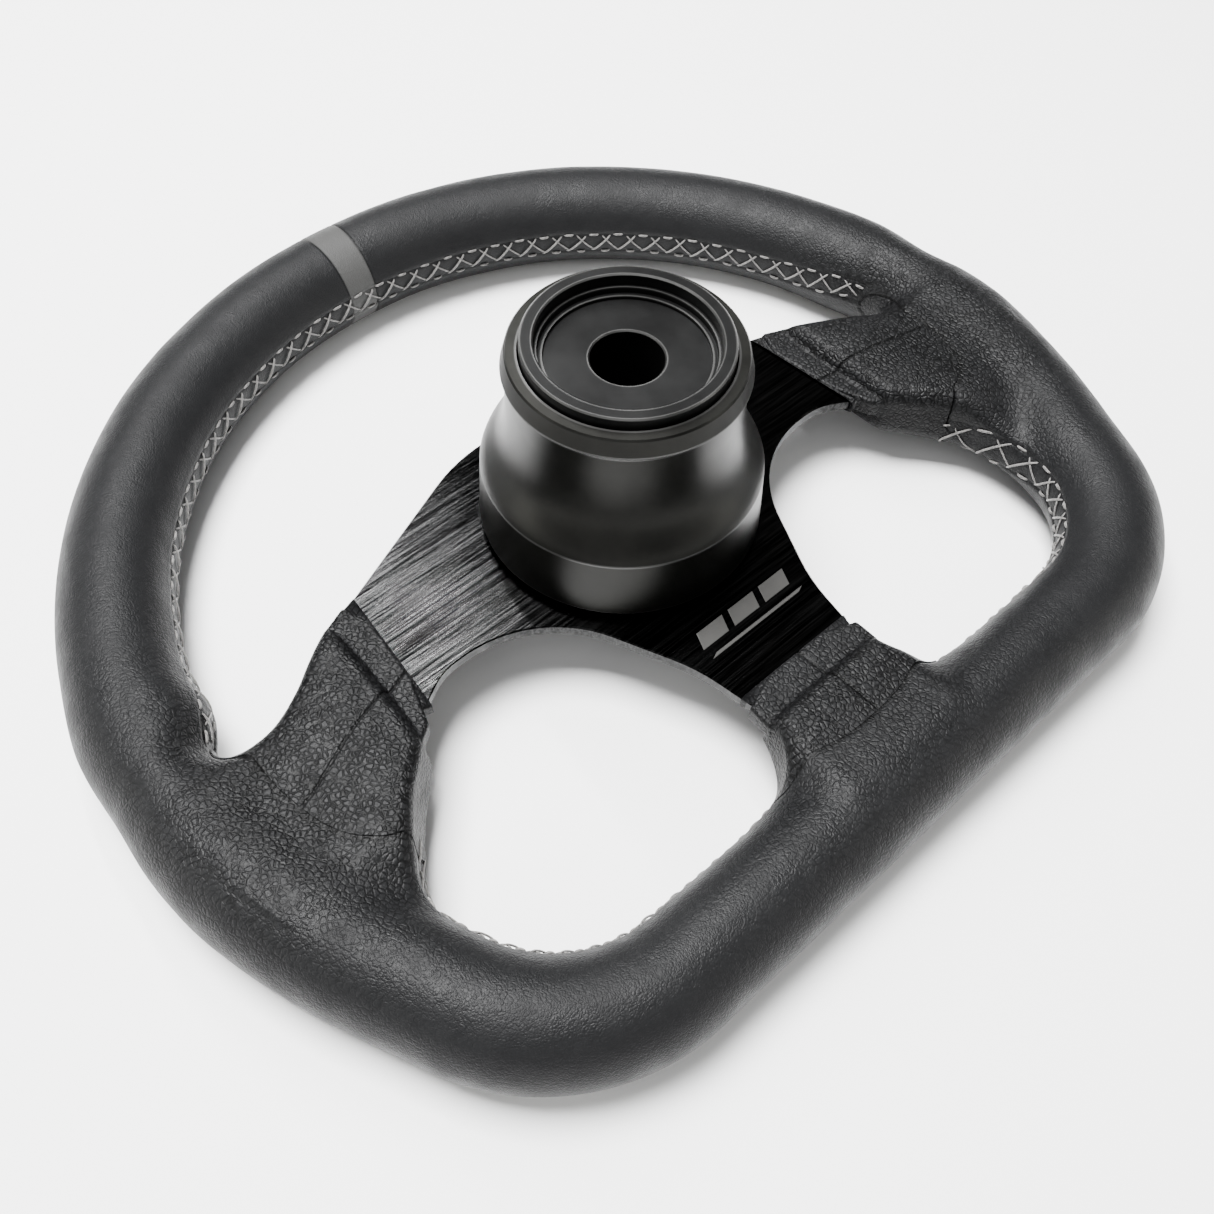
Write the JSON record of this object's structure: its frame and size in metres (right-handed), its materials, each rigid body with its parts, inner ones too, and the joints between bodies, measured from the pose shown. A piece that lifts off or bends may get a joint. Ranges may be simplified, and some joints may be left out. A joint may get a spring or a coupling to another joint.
{
  "type": "quick release steering wheel",
  "caption": "Flat-bottomed leather racing wheel with three brushed spokes on a bell-shaped ball-lock quick-release hub with a splined column adapter.",
  "frame": {"origin": "on the hub axis, at the column end of the adapter bore's wall", "axes": "+Z along the hub axis toward the steering column, +Y toward the twelve o'clock stripe, +X across the two side spokes (to the right when seen from the column side)"},
  "size_m": [0.3496, 0.3103, 0.0981],
  "materials": {
    "brushed_black": "brushed black anodised, brushed along X",
    "black_anodised": "satin black anodised",
    "bare_aluminium": "plain",
    "foam": "moulded polyurethane foam",
    "leather_black": "fine-grained charcoal leather",
    "leather_grey": "fine-grained grey leather",
    "thread_grey": "light grey waxed thread",
    "mark_silver": "pale silver print",
    "black_steel": "black oxide",
    "bright_steel": "polished",
    "cap_plastic": "gloss black"
  },
  "bodies": {
    "wheel": {"spoke_plate": "brushed_black", "rim_core": "bare_aluminium", "grip_foam": "foam", "wrap_left": "leather_black", "wrap_right": "leather_black", "centre_stripe": "leather_grey", "boot_left": "leather_black", "boot_right": "leather_black", "boot_bottom": "leather_black", "bolt_ring": "black_anodised", "hub_bolts": "black_steel", "centre_cap": "cap_plastic", "hub_body": "black_anodised", "stop_ring": "black_steel", "spring_washer": "bright_steel", "release_spring": "bright_steel"},
    "sleeve": {"release_sleeve": "black_anodised"},
    "adapter": {"column_adapter": "black_anodised"},
    "ball_1": {"lock_ball_1": "bright_steel"},
    "ball_2": {"lock_ball_2": "bright_steel"},
    "ball_3": {"lock_ball_3": "bright_steel"},
    "ball_4": {"lock_ball_4": "bright_steel"},
    "ball_5": {"lock_ball_5": "bright_steel"},
    "ball_6": {"lock_ball_6": "bright_steel"}
  },
  "joints": [
    {"name": "sleeve_release", "type": "slide", "parent": "wheel", "child": "sleeve", "axis": [0, 0, -1], "range_m": [0, 0.0022], "stiffness_N_per_m": 2500, "springref_m": -0.012, "deforming": ["release_spring"]},
    {"name": "adapter_pull_off", "type": "slide", "parent": "wheel", "child": "adapter", "axis": [0, 0, 1], "range_m": [0, 0.066]},
    {"name": "ball_1_travel", "type": "slide", "parent": "wheel", "child": "ball_1", "axis": [1, 0, 0], "range_m": [0, 0.0013]},
    {"name": "ball_2_travel", "type": "slide", "parent": "wheel", "child": "ball_2", "axis": [0.5, 0.866, 0], "range_m": [0, 0.0013]},
    {"name": "ball_3_travel", "type": "slide", "parent": "wheel", "child": "ball_3", "axis": [-0.5, 0.866, 0], "range_m": [0, 0.0013]},
    {"name": "ball_4_travel", "type": "slide", "parent": "wheel", "child": "ball_4", "axis": [-1, 0, 0], "range_m": [0, 0.0013]},
    {"name": "ball_5_travel", "type": "slide", "parent": "wheel", "child": "ball_5", "axis": [-0.5, -0.866, 0], "range_m": [0, 0.0013]},
    {"name": "ball_6_travel", "type": "slide", "parent": "wheel", "child": "ball_6", "axis": [0.5, -0.866, 0], "range_m": [0, 0.0013]}
  ],
  "couplings": [
    {"joint": "ball_1_travel", "follows": "sleeve_release", "ratio": 0.55},
    {"joint": "ball_2_travel", "follows": "sleeve_release", "ratio": 0.55},
    {"joint": "ball_3_travel", "follows": "sleeve_release", "ratio": 0.55},
    {"joint": "ball_4_travel", "follows": "sleeve_release", "ratio": 0.55},
    {"joint": "ball_5_travel", "follows": "sleeve_release", "ratio": 0.55},
    {"joint": "ball_6_travel", "follows": "sleeve_release", "ratio": 0.55}
  ]
}
